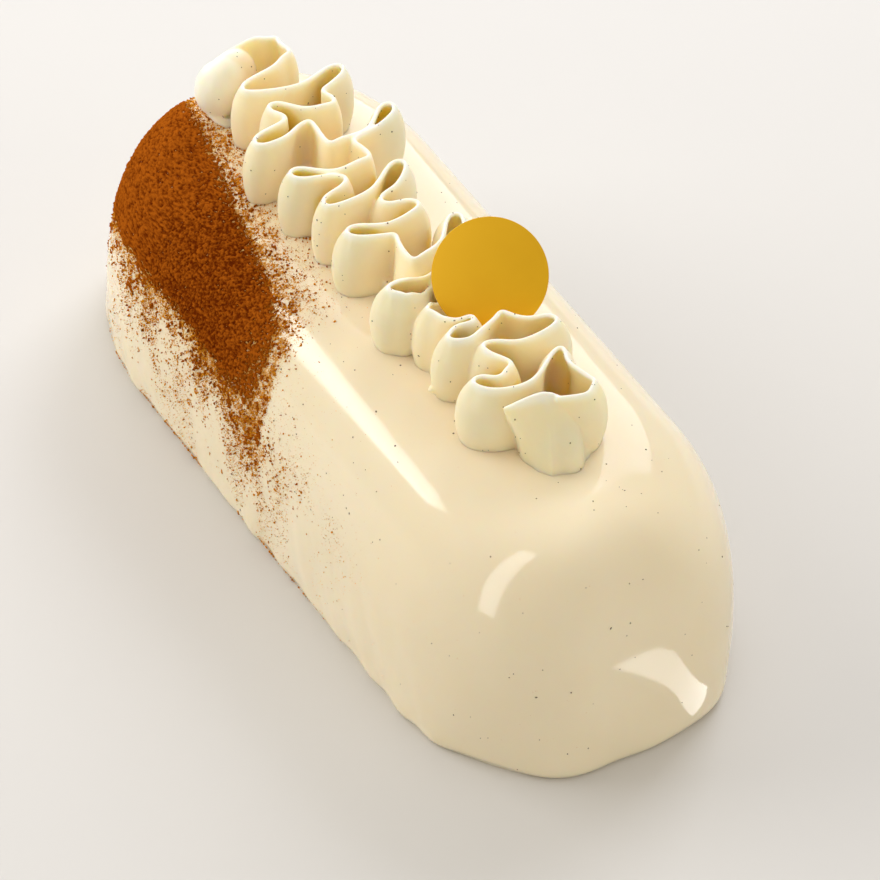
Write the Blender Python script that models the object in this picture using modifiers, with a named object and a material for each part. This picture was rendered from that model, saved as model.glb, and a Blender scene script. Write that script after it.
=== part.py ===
"""Glazed log cake: a round-ended loaf, a piped cream ruffle along its top and a thin round tag.

The loaf lies along Y with its far end at +Y, and stands on Z = 0. All sizes are in metres.
"""

import math

import bmesh
import bpy
import numpy as np
from mathutils import Euler, Vector

# The loaf
LOG_LENGTH = 0.240
LOG_WIDTH = 0.100
LOG_HEIGHT = 0.072
ARCH_POWER = 3.6          # roundness of the arch seen from an end, 2 is an ellipse
END_RISE_POWER = 2.6      # roundness of an end seen from the side
END_RISE = 0.032          # how far an end leans in from base to top
CORNER_ACROSS = 0.78      # plan corner radius as a share of the half width
CORNER_ALONG = 1.03       # plan corner length as a share of the half width
BASE_TUCK = 0.0015        # how far the glaze turns under at the foot
BASE_TUCK_HEIGHT = 0.004
LOG_SIDES = 88
LOG_LEVELS = 17

# The ruffle
RIM_HEIGHT = 0.0205       # top of the cream above the top of the loaf
RIM_HALF_THICKNESS = 0.0010
LOBE_RADIUS = 0.0026
LOBE_SWELL = 0.0036       # how far a fold swells out below its rim
TRAVERSE_SAG = 0.11       # bow of a long pass between two folds, as a share of its length
PATH_STEP = 0.0010
PATH_SOFTNESS = 0.0011    # how much the drawn path is evened out
FOOT_DEPTH = 0.004        # how far the cream starts below the top of the loaf
RUFFLE_TRIANGLES = 8200
RUFFLE_GRAIN = 0.0009     # cell size used to fuse the folds into one body
CREAM_BED_HEIGHT = 0.0060
CREAM_BED_HALF_WIDTH = 0.0125

# Turns of the ribbon from the far end to the near end: (across, along) in millimetres.
RIBBON_TURNS = (
    (-18, 89), (-13, 93), (-4, 92.5), (7, 90), (7, 81), (-11, 76), (17, 71),
    (8, 65), (9, 59), (-8, 67), (-6, 60), (-19, 55), (-1, 56), (-1, 45),
    (20, 49), (5, 43), (6, 35), (-17, 40), (-4, 31), (-15, 24), (13, 29),
    (-1, 18), (8, 12), (-17, 13), (-4, 5), (-5, -6), (14, 2), (9, -6),
    (-17, -12), (-5, -15), (-12, -23), (-1, -32), (-12, -36), (5, -35),
    (9, -41), (17, -43), (-7, -44), (-3, -55), (-16, -54), (5, -59),
    (12, -54), (10, -63), (12, -70), (0, -69),
)
# The loose first petal along the start of the ribbon, in millimetres:
# (run, rim height, how far its foot is moved across, and along).
FIRST_PETAL = (
    (0, 12, 8.0, -5.0), (4, 16, 7.0, -7.5), (9, 18.5, 4.5, -8.5), (16, 20, 1.5, -6.5),
    (26, 20.5, 0.0, -3.6),
)
# The loose last petal, in millimetres: its rim (across, along, height), then its foot.
LAST_PETAL = (
    (-14, -66, 19, -9, -72.5), (-11, -66, 20.3, -7.5, -74.5), (-6, -66.5, 20.7, -4.5, -77),
    (0, -69, 20.3, -0.5, -78), (3.5, -72, 17, 2.5, -78.5), (5.5, -75, 11, 4, -78.5),
    (6, -76.5, 5, 4.5, -78),
)

# The wall of the ribbon from its foot to its rim:
# (height share, swell share, lean share, half thickness).
WALL_LEVELS = (
    (0.00, 0.20, 1.00, 0.0024),
    (0.16, 0.58, 0.97, 0.0024),
    (0.36, 0.95, 0.86, 0.0021),
    (0.58, 1.00, 0.62, 0.0017),
    (0.78, 0.66, 0.34, 0.0013),
    (0.92, 0.22, 0.12, 0.0011),
)

# The tag
TAG_RADIUS = 0.0158
TAG_THICKNESS = 0.0008
TAG_CENTRE = (0.0095, -0.0217, 0.0918)
TAG_TURN = math.radians(-32.0)   # about the vertical, so the face looks to the near left
TAG_LEAN = math.radians(45.0)    # back from upright
TAG_EDGE = 0.00015
TAG_SIDES = 64

GAP = 0.0003


def clear_scene():
    for thing in list(bpy.data.objects):
        bpy.data.objects.remove(thing, do_unlink=True)


def collection(name):
    group = bpy.data.collections.new(name)
    bpy.context.scene.collection.children.link(group)
    return group


def material(name, colour, roughness, metallic=0.0):
    made = bpy.data.materials.new(name)
    made.use_nodes = True
    shader = made.node_tree.nodes["Principled BSDF"]
    shader.inputs["Base Color"].default_value = (*colour, 1.0)
    shader.inputs["Roughness"].default_value = roughness
    shader.inputs["Metallic"].default_value = metallic
    made.diffuse_color = (*colour, 1.0)
    return made


def add_object(name, mesh, group, finish=None):
    thing = bpy.data.objects.new(name, mesh)
    group.objects.link(thing)
    if finish is not None:
        mesh.materials.append(finish)
    return thing


def loft(name, sections):
    """One closed body through rings of points that all have the same number of points."""
    shape = bmesh.new()
    rings = [[shape.verts.new(point) for point in ring] for ring in sections]
    count = len(rings[0])
    for lower, upper in zip(rings, rings[1:]):
        for i in range(count):
            j = (i + 1) % count
            shape.faces.new((lower[i], lower[j], upper[j], upper[i]))
    shape.faces.new(list(reversed(rings[0])))
    shape.faces.new(rings[-1])
    bmesh.ops.recalc_face_normals(shape, faces=shape.faces)
    mesh = bpy.data.meshes.new(name)
    shape.to_mesh(mesh)
    shape.free()
    return mesh


def apply_modifiers(thing):
    """The object's mesh becomes what its modifiers make of it."""
    graph = bpy.context.evaluated_depsgraph_get()
    mesh = bpy.data.meshes.new_from_object(thing.evaluated_get(graph))
    old = thing.data
    thing.modifiers.clear()
    thing.data = mesh
    bpy.data.meshes.remove(old)


def log_half_sizes(share):
    """Half width and half length of the loaf at a share of its height."""
    half_width = LOG_WIDTH / 2 * (1 - share**ARCH_POWER) ** (1 / ARCH_POWER)
    lean = 1 - (1 - share**END_RISE_POWER) ** (1 / END_RISE_POWER)
    half_length = LOG_LENGTH / 2 - END_RISE * lean
    tuck_share = max(0.0, 1 - share * LOG_HEIGHT / BASE_TUCK_HEIGHT)
    tuck = BASE_TUCK * tuck_share**2
    return half_width - tuck, half_length - tuck


def log_ring(share, grow=0.0):
    """The loaf's plan outline at one height: straight sides joined by elliptic corners."""
    half_width, half_length = log_half_sizes(share)
    full = LOG_WIDTH / 2
    corner_x = half_width * CORNER_ACROSS
    corner_y = min(half_length, CORNER_ALONG * full * (0.3 + 0.7 * half_width / full))
    ring = []
    for i in range(LOG_SIDES):
        turn = 2 * math.pi * (i + 0.5) / LOG_SIDES
        c, s = math.cos(turn), math.sin(turn)
        x = math.copysign(half_width - corner_x, c) + corner_x * c
        y = math.copysign(half_length - corner_y, s) + corner_y * s
        ring.append((x + grow * c, y + grow * s, share * LOG_HEIGHT + grow))
    return ring


def log_levels():
    """Height shares from foot to top, closer together where the arch turns over."""
    foot = [0.0, BASE_TUCK_HEIGHT / 2 / LOG_HEIGHT, BASE_TUCK_HEIGHT / LOG_HEIGHT]
    rise = []
    for i in range(1, LOG_LEVELS):
        rise.append(math.sin(math.pi / 2 * i / (LOG_LEVELS - 0.7)))
    return foot + [share for share in rise if share > foot[-1] * 1.6]


def make_log(name, group, finish=None, grow=0.0):
    sections = [log_ring(share, grow) for share in log_levels()]
    if grow:
        sections[0] = [(x, y, -grow) for x, y, _ in sections[0]]
    return add_object(name, loft(name, sections), group, finish)


def rounded_turns():
    """Adds a shoulder on each side of every sharp turn, so that the fold there is round."""
    turns = np.array(RIBBON_TURNS, float) / 1000
    points = [turns[0]]
    for before, here, after in zip(turns, turns[1:], turns[2:]):
        into, out = here - before, after - here
        reach_in, reach_out = np.linalg.norm(into), np.linalg.norm(out)
        into, out = into / reach_in, out / reach_out
        tip = into - out
        if np.linalg.norm(tip) < 0.9:
            points.append(here)
        else:
            tip = tip / np.linalg.norm(tip)
            radius = min(LOBE_RADIUS, 0.3 * min(reach_in, reach_out))
            side = np.array((-tip[1], tip[0])) * np.sign(into[0] * out[1] - into[1] * out[0])
            points.append(here - (tip + side) * radius)
            points.append(here)
            points.append(here - (tip - side) * radius)
        if reach_out > 0.016:
            points.append((here + after) / 2 + np.array((0.0, -TRAVERSE_SAG * reach_out)))
    points.append(turns[-1])
    return np.array(points)


def spline(points):
    """Evenly spaced points on a centripetal Catmull-Rom curve, and the run to each."""
    padded = np.vstack([2 * points[0] - points[1], points, 2 * points[-1] - points[-2]])
    dense = []
    for i in range(1, len(padded) - 2):
        p0, p1, p2, p3 = padded[i - 1:i + 3]
        t1 = np.linalg.norm(p1 - p0) ** 0.5
        t2 = t1 + np.linalg.norm(p2 - p1) ** 0.5
        t3 = t2 + np.linalg.norm(p3 - p2) ** 0.5
        for t in np.linspace(t1, t2, 10, endpoint=False):
            a1 = ((t1 - t) * p0 + t * p1) / t1
            a2 = ((t2 - t) * p1 + (t - t1) * p2) / (t2 - t1)
            a3 = ((t3 - t) * p2 + (t - t2) * p3) / (t3 - t2)
            b1 = ((t2 - t) * a1 + t * a2) / t2
            b2 = ((t3 - t) * a2 + (t - t1) * a3) / (t3 - t1)
            dense.append(((t2 - t) * b1 + (t - t1) * b2) / (t2 - t1))
    dense.append(padded[-2])
    dense = np.array(dense)
    run = np.concatenate([[0], np.cumsum(np.linalg.norm(np.diff(dense, axis=0), axis=1))])
    even = np.linspace(0, run[-1], int(run[-1] / PATH_STEP))
    columns = [np.interp(even, run, dense[:, i]) for i in range(dense.shape[1])]
    return np.stack(columns, axis=1), even


def smoothed(values, width):
    """A running average over a width counted in steps, with soft ends."""
    reach = np.arange(-math.ceil(3 * width), math.ceil(3 * width) + 1)
    weights = np.exp(-0.5 * (reach / width) ** 2)
    padded = np.pad(values, len(reach) // 2, mode="reflect", reflect_type="odd")
    return np.convolve(padded, weights / weights.sum(), mode="valid")


def wall_sections(path, run, rim, foot_shift):
    """The closed outline of a standing wall of cream at every step of its path."""
    step = run[1] - run[0]
    along = np.gradient(path, axis=0)
    along /= np.linalg.norm(along, axis=1)[:, None]
    across = np.stack([along[:, 1], -along[:, 0]], axis=1)
    heading = np.unwrap(np.arctan2(along[:, 1], along[:, 0]))
    bend = smoothed(np.gradient(heading, run), 0.0032 / step) * LOBE_RADIUS
    swell = across * (LOBE_SWELL * np.tanh(1.8 * bend))[:, None]
    foot = LOG_HEIGHT - FOOT_DEPTH
    sections = []
    for i, point in enumerate(path):
        outer, inner, top = [], [], []
        crest = LOG_HEIGHT + rim[i]
        for share, swelling, leaning, half in WALL_LEVELS:
            centre = point + swell[i] * swelling + foot_shift[i] * leaning
            z = foot + (crest - RIM_HALF_THICKNESS - foot) * share
            outer.append((*(centre + across[i] * half), z))
            inner.append((*(centre - across[i] * half), z))
        for turn in (0, 45, 90, 135, 180):
            c, s = math.cos(math.radians(turn)), math.sin(math.radians(turn))
            level = point + across[i] * RIM_HALF_THICKNESS * c
            top.append((*level, crest - RIM_HALF_THICKNESS * (1 - s)))
        sections.append(outer + top + inner[::-1])
    return sections


def ribbon_sections():
    """The long folded ribbon, which rises from the loaf over its first petal."""
    path, run = spline(rounded_turns())
    step = run[1] - run[0]
    path = np.stack([smoothed(path[:, i], PATH_SOFTNESS / step) for i in (0, 1)], axis=1)
    petal = np.array(FIRST_PETAL) / 1000
    rim, shift_x, shift_y = (
        smoothed(np.interp(run, petal[:, 0], petal[:, i]), 0.002 / step) for i in (1, 2, 3)
    )
    return wall_sections(path, run, rim, np.stack([shift_x, shift_y], axis=1))


def last_petal_sections():
    """The tongue of cream that closes the near end of the ribbon."""
    edge, run = spline(np.array(LAST_PETAL) / 1000)
    return wall_sections(edge[:, :2], run, edge[:, 2], edge[:, 3:] - edge[:, :2])


def make_ruffle(group, cutters, finish):
    """The folded ribbon and the bed of cream under it, fused, then cut to sit on the loaf."""
    ribbon = add_object("cream_ruffle", loft("ribbon", ribbon_sections()), group, finish)
    petal = loft("last_petal", last_petal_sections())
    bed_outline = []
    for i in range(40):
        turn = 2 * math.pi * i / 40
        c, s = math.cos(turn), math.sin(turn)
        y = 0.0035 + math.copysign(0.0775 - CREAM_BED_HALF_WIDTH, s) + CREAM_BED_HALF_WIDTH * s
        bed_outline.append((CREAM_BED_HALF_WIDTH * c, y))
    bed_levels = (LOG_HEIGHT - FOOT_DEPTH, LOG_HEIGHT + CREAM_BED_HEIGHT)
    bed = add_object(
        "cream_bed",
        loft("cream_bed", [[(x, y, z) for x, y in bed_outline] for z in bed_levels]),
        cutters,
    )
    shape = bmesh.new()
    for mesh in (ribbon.data, petal, bed.data):
        shape.from_mesh(mesh)
    shape.to_mesh(ribbon.data)
    shape.free()
    bpy.data.objects.remove(bed, do_unlink=True)

    fuse = ribbon.modifiers.new("fuse", "REMESH")
    fuse.mode = "VOXEL"
    fuse.voxel_size = RUFFLE_GRAIN
    apply_modifiers(ribbon)
    relax = ribbon.modifiers.new("relax", "SMOOTH")
    relax.factor = 0.5
    relax.iterations = 2
    apply_modifiers(ribbon)
    faces = sum(len(face.vertices) - 2 for face in ribbon.data.polygons)
    thin = ribbon.modifiers.new("thin", "DECIMATE")
    thin.ratio = RUFFLE_TRIANGLES / faces
    apply_modifiers(ribbon)

    seat = make_log("loaf_seat", cutters, grow=GAP)
    slot = make_disc("tag_slot", cutters, None, GAP)
    for cutter in (seat, slot):
        cutter.hide_render = True
        cutter.display_type = "WIRE"
        cut = ribbon.modifiers.new(cutter.name, "BOOLEAN")
        cut.operation = "DIFFERENCE"
        cut.solver = "EXACT"
        cut.object = cutter
    apply_modifiers(ribbon)
    if finish.name not in [made.name for made in ribbon.data.materials if made]:
        ribbon.data.materials.append(finish)
    return ribbon


def make_disc(name, group, finish, grow=0.0):
    shape = bmesh.new()
    bmesh.ops.create_cone(
        shape, cap_ends=True, segments=TAG_SIDES, radius1=TAG_RADIUS + grow,
        radius2=TAG_RADIUS + grow, depth=TAG_THICKNESS + 2 * grow,
    )
    if not grow:
        rims = [edge for edge in shape.edges if edge.calc_face_angle() > 1.0]
        bmesh.ops.bevel(shape, geom=rims, offset=TAG_EDGE, segments=1, affect="EDGES")
    mesh = bpy.data.meshes.new(name)
    shape.to_mesh(mesh)
    shape.free()
    disc = add_object(name, mesh, group, finish)
    disc.location = Vector(TAG_CENTRE)
    disc.rotation_euler = Euler((math.pi / 2 - TAG_LEAN, 0.0, TAG_TURN))
    bpy.context.view_layer.update()
    return disc


def main():
    clear_scene()
    cake = collection("glazed_log_cake")
    cutters = collection("cutters")
    glaze = material("vanilla_glaze", (0.90, 0.80, 0.58), 0.12)
    cream = material("vanilla_cream", (0.93, 0.85, 0.64), 0.40)
    gold = material("gold_card", (0.70, 0.45, 0.06), 0.35, 0.6)
    make_log("log", cake, glaze)
    make_disc("tag", cake, gold)
    make_ruffle(cake, cutters, cream)


if __name__ == "__main__":
    main()
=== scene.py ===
"""Looks of a glazed log cake: mirror glaze, cocoa dusted over one shoulder, piped cream and a gold tag.

The loaf lies along Y with its far end at +Y and stands on Z = 0. All sizes are in metres.
"""

import logging
import math
from dataclasses import dataclass, field
from enum import Enum

import bpy
import numpy as np
from mathutils import Matrix, Vector, noise
from mathutils.bvhtree import BVHTree


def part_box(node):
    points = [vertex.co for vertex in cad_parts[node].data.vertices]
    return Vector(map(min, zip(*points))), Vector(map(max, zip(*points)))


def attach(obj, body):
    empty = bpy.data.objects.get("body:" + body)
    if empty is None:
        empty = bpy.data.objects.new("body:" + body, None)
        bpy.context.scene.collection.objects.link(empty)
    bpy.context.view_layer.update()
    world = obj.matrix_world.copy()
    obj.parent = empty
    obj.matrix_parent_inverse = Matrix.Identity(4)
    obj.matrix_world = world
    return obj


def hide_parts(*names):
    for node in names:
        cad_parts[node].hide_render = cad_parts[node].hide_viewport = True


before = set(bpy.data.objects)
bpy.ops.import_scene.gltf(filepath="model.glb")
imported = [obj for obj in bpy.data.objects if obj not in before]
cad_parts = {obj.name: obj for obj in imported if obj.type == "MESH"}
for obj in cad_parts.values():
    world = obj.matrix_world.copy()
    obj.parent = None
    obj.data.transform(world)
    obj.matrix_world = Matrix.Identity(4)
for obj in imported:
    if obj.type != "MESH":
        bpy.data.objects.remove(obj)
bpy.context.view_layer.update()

PHOTO_SIDE = 880
ROOT_BODY = "root"
CAKE_LOG = logging.getLogger("cake")
TABLE_STEPS = 2001     # of the loaf's table of heights

Colour = tuple[float, float, float]
Number = float | bpy.types.NodeSocket     # a constant, or the socket that it comes from
Paint = Colour | bpy.types.NodeSocket


class Slot(Enum):
    """Names of material slots; no piece here takes its finish from them."""

    GLAZE = "glaze"
    CREAM = "cream"
    TAG = "tag"


class Node(Enum):
    """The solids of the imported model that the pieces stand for."""

    LOG = "log"
    RUFFLE = "cream_ruffle"
    TAG = "tag"


def smoothstep(low: float, high: float, values: np.ndarray) -> np.ndarray:
    """A soft step that rises from 0 at low to 1 at high.

    Args:
        low: Where the step starts.
        high: Where the step ends. It may be less than low, and the step then falls.
        values: The numbers to put through the step.

    Returns:
        The step's value for each number.
    """
    share = np.clip((values - low) / (high - low), 0.0, 1.0)
    return share * share * (3.0 - 2.0 * share)


def clear_selection() -> None:
    """Deselects everything, so that the next operator acts on new pieces only."""
    for thing in list(bpy.context.selected_objects):
        thing.select_set(False)


def take(thing: bpy.types.Object) -> None:
    """Makes one object the only selected and active one."""
    clear_selection()
    thing.select_set(True)
    bpy.context.view_layer.objects.active = thing


def settle(thing: bpy.types.Object, points: np.ndarray) -> None:
    """Moves every vertex of a piece to its own point.

    Args:
        thing: The piece, with its object at the origin.
        points: One row of three coordinates for each vertex.
    """
    thing.data.vertices.foreach_set("co", points.astype(np.float32).ravel())
    thing.data.update()


def vertices_of(thing: bpy.types.Object) -> np.ndarray:
    """The vertices of a piece as rows of three coordinates."""
    flat = np.zeros(len(thing.data.vertices) * 3, np.float32)
    thing.data.vertices.foreach_get("co", flat)
    return flat.reshape(-1, 3).astype(float)


def apply_all(thing: bpy.types.Object) -> None:
    """Applies every modifier of a piece, in order."""
    take(thing)
    for modifier in list(thing.modifiers):
        bpy.ops.object.modifier_apply(modifier=modifier.name)


def face_outward() -> None:
    """Turns the faces of the active piece outwards."""
    bpy.ops.object.mode_set(mode="EDIT")
    bpy.ops.mesh.select_all(action="SELECT")
    bpy.ops.mesh.normals_make_consistent(inside=False)
    bpy.ops.object.mode_set(mode="OBJECT")


def set_attribute(thing: bpy.types.Object, name: str, values: np.ndarray) -> None:
    """Stores one number for each vertex of a piece, for its material to read."""
    made = thing.data.attributes.new(name, "FLOAT", "POINT")
    made.data.foreach_set("value", values.astype(np.float32))


def shut_in(piece: bpy.types.Object, reach: float, rays: int = 7) -> np.ndarray:
    """How shut in each vertex of a piece is by the piece itself.

    Args:
        piece: The piece.
        reach: How far each look outwards goes.
        rays: How many ways each vertex looks.

    Returns:
        The share of the looks that meet the piece, evened out over neighbours.
    """
    mesh = piece.data
    points = vertices_of(piece)
    normals = np.array([tuple(vertex.normal) for vertex in mesh.vertices])
    tree = BVHTree.FromPolygons(points.tolist(), [tuple(face.vertices) for face in mesh.polygons])
    met = np.zeros(len(points))
    draw = np.random.default_rng(3)
    for _ in range(rays):
        spread = draw.normal(size=points.shape)
        spread /= np.linalg.norm(spread, axis=1, keepdims=True)
        ways = normals * 1.05 + spread
        starts = points + normals * 0.0002
        met += [tree.ray_cast(start, way, reach)[0] is not None for start, way in zip(starts, ways)]
    edges = np.zeros(len(mesh.edges) * 2, np.int32)
    mesh.edges.foreach_get("vertices", edges)
    one, other = edges.reshape(-1, 2).T
    shared = 1 + np.bincount(edges, minlength=len(points))
    share = met / rays
    for _ in range(4):
        around = np.bincount(one, share[other], len(points)) + np.bincount(other, share[one], len(points))
        share = (share + around) / shared
    return share


def mesh_piece(name: str, points: np.ndarray, faces: np.ndarray) -> bpy.types.Object:
    """A new piece from points and faces that all have the same number of corners.

    Args:
        name: The piece's name.
        points: One row of three coordinates for each vertex.
        faces: One row of vertex numbers for each face.

    Returns:
        The piece, linked to the scene.
    """
    mesh = bpy.data.meshes.new(name)
    corners = faces.shape[1]
    mesh.vertices.add(len(points))
    mesh.vertices.foreach_set("co", points.astype(np.float32).ravel())
    mesh.loops.add(faces.size)
    mesh.loops.foreach_set("vertex_index", faces.astype(np.int32).ravel())
    mesh.polygons.add(len(faces))
    mesh.polygons.foreach_set("loop_start", np.arange(0, faces.size, corners, dtype=np.int32))
    mesh.update(calc_edges=True)
    mesh.validate()
    piece = bpy.data.objects.new(name, mesh)
    bpy.context.scene.collection.objects.link(piece)
    return piece


# The shader groups and finishes


@dataclass
class NodeBoard:
    """A node tree with short calls for adding and joining its nodes."""

    tree: bpy.types.NodeTree

    def add(self, kind: str, values: dict | None = None, **settings) -> bpy.types.Node:
        """Adds a node.

        Args:
            kind: The node's type without its ShaderNode prefix.
            values: Values or source sockets for the node's inputs, by name or number.
            **settings: The node's own properties.

        Returns:
            The node.
        """
        prefix = "" if kind.startswith("Node") else "ShaderNode"
        node = self.tree.nodes.new(prefix + kind)
        for name, value in settings.items():
            setattr(node, name, value)
        for name, value in (values or {}).items():
            if isinstance(value, bpy.types.NodeSocket):
                self.tree.links.new(value, node.inputs[name])
            else:
                node.inputs[name].default_value = value
        return node

    def math(self, operation: str, first: Number, second: Number) -> bpy.types.NodeSocket:
        """Adds a Math node and returns its output."""
        return self.add("Math", {0: first, 1: second}, operation=operation).outputs[0]

    def group(self, tree: bpy.types.NodeTree, at: bpy.types.NodeSocket, **values: Number) -> bpy.types.Node:
        """Adds a shared group at a position, with its other inputs by name."""
        return self.add("Group", {"Position": at, **values}, node_tree=tree)

    def spread(self, value: Number, low: float, high: float) -> bpy.types.NodeSocket:
        """A straight run from low where the value is 0 to high where it is 1."""
        return self.add("MapRange", {"Value": value, "To Min": low, "To Max": high}).outputs["Result"]

    def bump(self, height: Number, strength: float, distance: float) -> bpy.types.NodeSocket:
        """Adds a Bump node and returns its normal."""
        values = {"Height": height, "Strength": strength, "Distance": distance}
        return self.add("Bump", values).outputs["Normal"]

    def ramp(self, value: Number, low: float, high: float) -> bpy.types.NodeSocket:
        """A soft step from 0 at low to 1 at high, or falling where low is the larger."""
        rising = low < high
        node = self.add(
            "MapRange",
            {"Value": value, "From Min": min(low, high), "From Max": max(low, high),
             "To Min": 0.0 if rising else 1.0, "To Max": 1.0 if rising else 0.0},
            interpolation_type="SMOOTHSTEP",
        )
        return node.outputs["Result"]

    def blend(self, share: Number, first: Paint, second: Paint) -> bpy.types.NodeSocket:
        """Mixes two colours by a share and returns the mixed colour."""
        node = self.add("Mix", {0: share, 6: as_rgba(first), 7: as_rgba(second)}, data_type="RGBA")
        return node.outputs[2]


def as_rgba(colour: Paint) -> tuple[float, float, float, float] | bpy.types.NodeSocket:
    """A colour with its fourth value, or the socket that was given."""
    if isinstance(colour, bpy.types.NodeSocket):
        return colour
    return (*colour, 1.0)


class ShaderGroups:
    """The effects that several finishes share, each built once as a node group."""

    def __init__(self) -> None:
        """Builds the three groups."""
        self.mottle = self._mottle()
        self.seeds = self._seeds()
        self.powder = self._powder()

    def _start(self, name: str, inputs: dict[str, float]) -> tuple[NodeBoard, bpy.types.Node]:
        """Makes an empty group with its inputs, the first of which is always a position.

        Args:
            name: The group's name.
            inputs: The number inputs after Position, with their usual values.

        Returns:
            The group's board and its input node.
        """
        tree = bpy.data.node_groups.new(name, "ShaderNodeTree")
        tree.interface.new_socket("Position", in_out="INPUT", socket_type="NodeSocketVector")
        for label, value in inputs.items():
            socket = tree.interface.new_socket(label, in_out="INPUT", socket_type="NodeSocketFloat")
            socket.default_value = value
        board = NodeBoard(tree)
        return board, board.add("NodeGroupInput")

    def _finish(self, board: NodeBoard, outputs: dict[str, bpy.types.NodeSocket]) -> bpy.types.NodeTree:
        """Gives a group its outputs.

        Args:
            board: The group's board.
            outputs: The number that each output carries, by name.

        Returns:
            The finished group.
        """
        for label in outputs:
            board.tree.interface.new_socket(label, in_out="OUTPUT", socket_type="NodeSocketFloat")
        end = board.add("NodeGroupOutput")
        for label, socket in outputs.items():
            board.tree.links.new(socket, end.inputs[label])
        return board.tree

    def _mottle(self) -> bpy.types.NodeTree:
        """Soft uneven patches: one output that wanders around 0.5."""
        board, start = self._start("soft_mottle", {"Scale": 40.0, "Detail": 3.0})
        clouds = board.add(
            "TexNoise",
            {"Vector": start.outputs["Position"], "Scale": start.outputs["Scale"],
             "Detail": start.outputs["Detail"], "Roughness": 0.55},
        )
        return self._finish(board, {"Value": clouds.outputs["Fac"]})

    def _seeds(self) -> bpy.types.NodeTree:
        """Fine vanilla seeds: a mask that is 1 on a seed, and a second one for its faint halo."""
        board, start = self._start("vanilla_seeds", {"Scale": 220.0, "Share": 0.1, "Size": 0.06})
        cells = board.add(
            "TexVoronoi",
            {"Vector": start.outputs["Position"], "Scale": start.outputs["Scale"], "Randomness": 1.0},
        )
        pick = board.add("SeparateColor", {"Color": cells.outputs["Color"]})
        chosen = board.math("LESS_THAN", pick.outputs[0], start.outputs["Share"])
        near = board.math("DIVIDE", cells.outputs["Distance"], start.outputs["Size"])
        seed = board.math("MULTIPLY", board.ramp(near, 1.0, 0.55), chosen)
        halo = board.math("MULTIPLY", board.ramp(near, 2.4, 0.8), chosen)
        return self._finish(board, {"Mask": seed, "Halo": halo})

    def _powder(self) -> bpy.types.NodeTree:
        """Dusted powder: grains that fill in as Amount grows, and the grain's own height."""
        board, start = self._start("dusted_powder", {"Scale": 2600.0, "Amount": 0.5})
        fine = board.add(
            "TexNoise",
            {"Vector": start.outputs["Position"], "Scale": start.outputs["Scale"], "Detail": 2.0,
             "Roughness": 0.7},
        )
        drift_scale = board.math("MULTIPLY", start.outputs["Scale"], 0.28)
        drift = board.add(
            "TexNoise",
            {"Vector": start.outputs["Position"], "Scale": drift_scale, "Detail": 2.0, "Roughness": 0.6},
        )
        mixed = board.math(
            "ADD", board.math("MULTIPLY", fine.outputs["Fac"], 0.6),
            board.math("MULTIPLY", drift.outputs["Fac"], 0.4),
        )
        level = board.math("SUBTRACT", 0.70, board.math("MULTIPLY", start.outputs["Amount"], 0.42))
        over = board.math("SUBTRACT", mixed, level)
        return self._finish(board, {"Mask": board.ramp(over, -0.015, 0.03), "Height": mixed})


@dataclass(frozen=True)
class Finish:
    """What every finish has: its name and its own texture position on the piece."""

    name: str

    def start(self) -> tuple[bpy.types.Material, NodeBoard, bpy.types.Node, bpy.types.NodeSocket]:
        """Makes the material with its shader and its position socket.

        Returns:
            The material, its board, the Principled shader and the object position.
        """
        made = bpy.data.materials.new(self.name)
        made.use_nodes = True
        board = NodeBoard(made.node_tree)
        shader = made.node_tree.nodes["Principled BSDF"]
        place = board.add("TexCoord").outputs["Object"]
        return made, board, shader, place


@dataclass(frozen=True)
class GlazeFinish(Finish):
    """Smooth pale mirror glaze with sunken seeds, and cocoa dust where the cocoa attribute says."""

    name: str = "vanilla_mirror_glaze"
    pale: Colour = (0.895, 0.80, 0.61)
    deep: Colour = (0.86, 0.74, 0.505)
    seed: Colour = (0.12, 0.08, 0.045)
    dust: Colour = (0.62, 0.28, 0.035)
    haze: Colour = (0.80, 0.58, 0.24)
    roughness: float = 0.09
    dusted_roughness: float = 0.62

    def build(self, groups: ShaderGroups) -> bpy.types.Material:
        """Builds the material.

        Args:
            groups: The shared shader groups.

        Returns:
            The material.
        """
        made, board, shader, place = self.start()
        mottle = board.group(groups.mottle, place, Scale=26.0, Detail=2.0)
        seeds = board.group(groups.seeds, place, Scale=125.0, Share=0.10, Size=0.028)
        amount = board.add("Attribute", attribute_name="cocoa").outputs["Fac"]
        powder = board.group(groups.powder, place, Scale=1500.0, Amount=amount)
        base = board.blend(mottle.outputs["Value"], self.pale, self.deep)
        speck = board.math("MULTIPLY", seeds.outputs["Mask"], 0.85)
        halo = board.math("MULTIPLY", seeds.outputs["Halo"], 0.16)
        base = board.blend(halo, base, (0.62, 0.50, 0.33))
        base = board.blend(speck, base, self.seed)
        haze = board.math("MULTIPLY", board.ramp(amount, 0.04, 0.60), 0.26)
        base = board.blend(haze, base, self.haze)
        base = board.blend(powder.outputs["Mask"], base, self.dust)
        rough = board.spread(powder.outputs["Mask"], self.roughness, self.dusted_roughness)
        swell = board.group(groups.mottle, place, Scale=95.0, Detail=1.0)
        grain = board.math("MULTIPLY", powder.outputs["Mask"], 0.5)
        height = board.math("ADD", board.math("MULTIPLY", swell.outputs["Value"], 0.35), grain)
        bump = board.bump(height, 0.10, 0.0006)
        links = made.node_tree.links
        links.new(base, shader.inputs["Base Color"])
        links.new(rough, shader.inputs["Roughness"])
        links.new(bump, shader.inputs["Normal"])
        shader.inputs["Subsurface Weight"].default_value = 0.55
        shader.inputs["Subsurface Radius"].default_value = (1.0, 0.72, 0.42)
        shader.inputs["Subsurface Scale"].default_value = 0.004
        shader.inputs["IOR"].default_value = 1.46
        return made


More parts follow.
